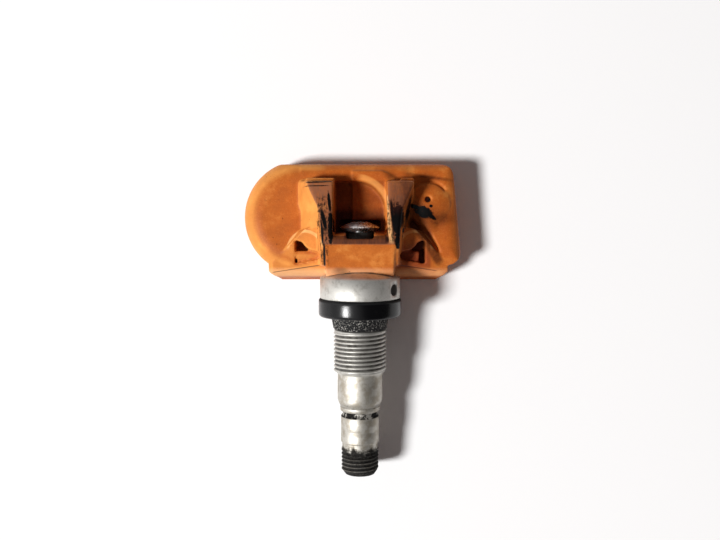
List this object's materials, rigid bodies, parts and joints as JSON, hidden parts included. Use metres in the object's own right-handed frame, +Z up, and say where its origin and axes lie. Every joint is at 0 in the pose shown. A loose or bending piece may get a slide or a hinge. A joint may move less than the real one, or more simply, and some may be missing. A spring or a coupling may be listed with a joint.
{
  "type": "tyre pressure sensor",
  "caption": "Tyre pressure sensor: moulded housing with ribs, bridge and screw well, and a metal valve stem with rubber seal that tilts in a spherical seat.",
  "frame": {"origin": "on the flat base, on the stem's centre plane, half way between the housing's front and back", "axes": "+Z up from the base through the ribs, -Y along the stem away from the housing, +X towards the square end"},
  "size_m": [0.0451, 0.0645, 0.0173],
  "materials": {
    "housing_plastic": "satin, worn on the ribs",
    "cover_plastic": "satin",
    "board_laminate": "satin",
    "cell_steel": "satin",
    "strip_metal": "satin",
    "package_plastic": "matt",
    "soft_silicone": "matt",
    "membrane": "matt",
    "ferrite": "matt",
    "copper_wire": "enamelled",
    "antenna_metal": "plated",
    "chip_ceramic": "matt",
    "stem_aluminium": "satin, turned",
    "seal_rubber": "smooth",
    "screw_steel": "polished",
    "core_brass": "turned",
    "core_rubber": "matt",
    "spring_steel": "drawn"
  },
  "bodies": {
    "housing_body": {"housing": "housing_plastic", "base_cover": "cover_plastic", "circuit_board": "board_laminate", "battery": "cell_steel", "battery_tab_positive": "strip_metal", "battery_tab_negative": "strip_metal", "pressure_sensor": "package_plastic", "port_seal": "soft_silicone", "port_filter": "membrane", "coil_core": "ferrite", "coil_winding": "copper_wire", "antenna": "antenna_metal", "crystal": "strip_metal", "capacitors": "chip_ceramic"},
    "stem_body": {"valve_stem": "stem_aluminium", "rim_seal": "seal_rubber", "clamp_screw": "screw_steel", "core_body": "core_brass", "core_seal_ring": "core_rubber", "core_spring": "spring_steel"},
    "pin_body": {"core_pin": "core_brass", "core_cup": "core_rubber"}
  },
  "joints": [
    {"name": "valve_tilt", "type": "hinge", "parent": "housing_body", "child": "stem_body", "pos_m": [0, -0.0339, 0.0073], "axis": [1, 0, 0], "range_deg": [-5, 1.5]},
    {"name": "core_press", "type": "slide", "parent": "stem_body", "child": "pin_body", "axis": [0, 0.9965, 0.0837], "range_m": [0, 0.0012], "stiffness_N_per_m": 800, "springref_m": -0.001, "deforming": ["core_spring"]}
  ]
}
